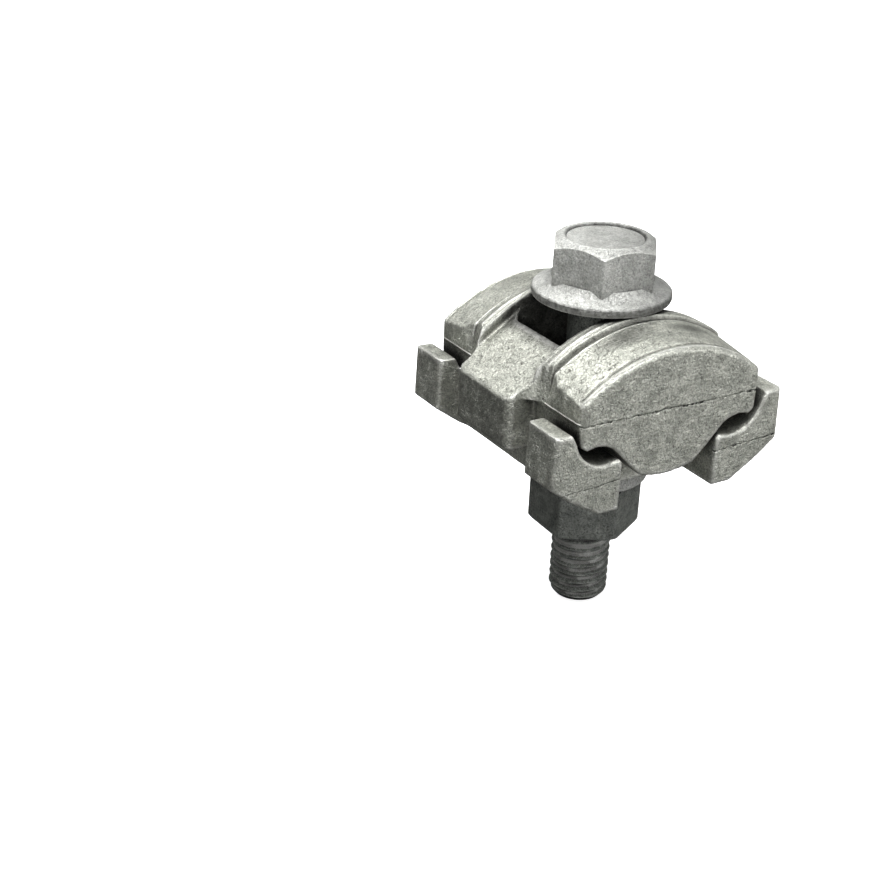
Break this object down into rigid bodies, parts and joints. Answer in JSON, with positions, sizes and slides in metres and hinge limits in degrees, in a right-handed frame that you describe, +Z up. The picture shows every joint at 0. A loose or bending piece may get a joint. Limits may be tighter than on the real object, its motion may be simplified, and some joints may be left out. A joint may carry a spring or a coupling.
{
  "type": "parallel groove clamp",
  "caption": "Two cast jaws drawn together by a central flange bolt and nut, gripping parallel conductors in side grooves.",
  "frame": {"origin": "on the bolt axis, half way up the conductor grooves with the jaws closed", "axes": "+Z up the bolt to its head, +Y along the conductors, +X across them"},
  "size_m": [0.0352, 0.033, 0.0512],
  "materials": {
    "upper_casting": "dull as-cast grey with bright worn edges",
    "lower_casting": "dull as-cast grey with bright worn edges",
    "bolt_steel": "galvanised, pale and slightly mottled",
    "washer_steel": "galvanised",
    "nut_steel": "dark grey, dull"
  },
  "bodies": {
    "upper": {"upper_jaw": "upper_casting"},
    "bolt": {"flange_bolt": "bolt_steel"},
    "lower": {"lower_jaw": "lower_casting", "washer": "washer_steel"},
    "nut": {"hex_nut": "nut_steel"}
  },
  "joints": [
    {"name": "bolt_turn", "type": "hinge", "parent": "upper", "child": "bolt", "pos_m": [0, 0, 0], "axis": [0, 0, 1], "continuous": true},
    {"name": "jaw_slide", "type": "slide", "parent": "upper", "child": "lower", "axis": [0, 0, -1], "range_m": [0, 0.009]},
    {"name": "nut_turn", "type": "hinge", "parent": "lower", "child": "nut", "pos_m": [0, 0, 0], "axis": [0, 0, -1], "range_deg": [0, 2593]}
  ],
  "couplings": [
    {"joint": "nut_turn", "follows": "jaw_slide", "rad_per_m": 5026.5}
  ]
}
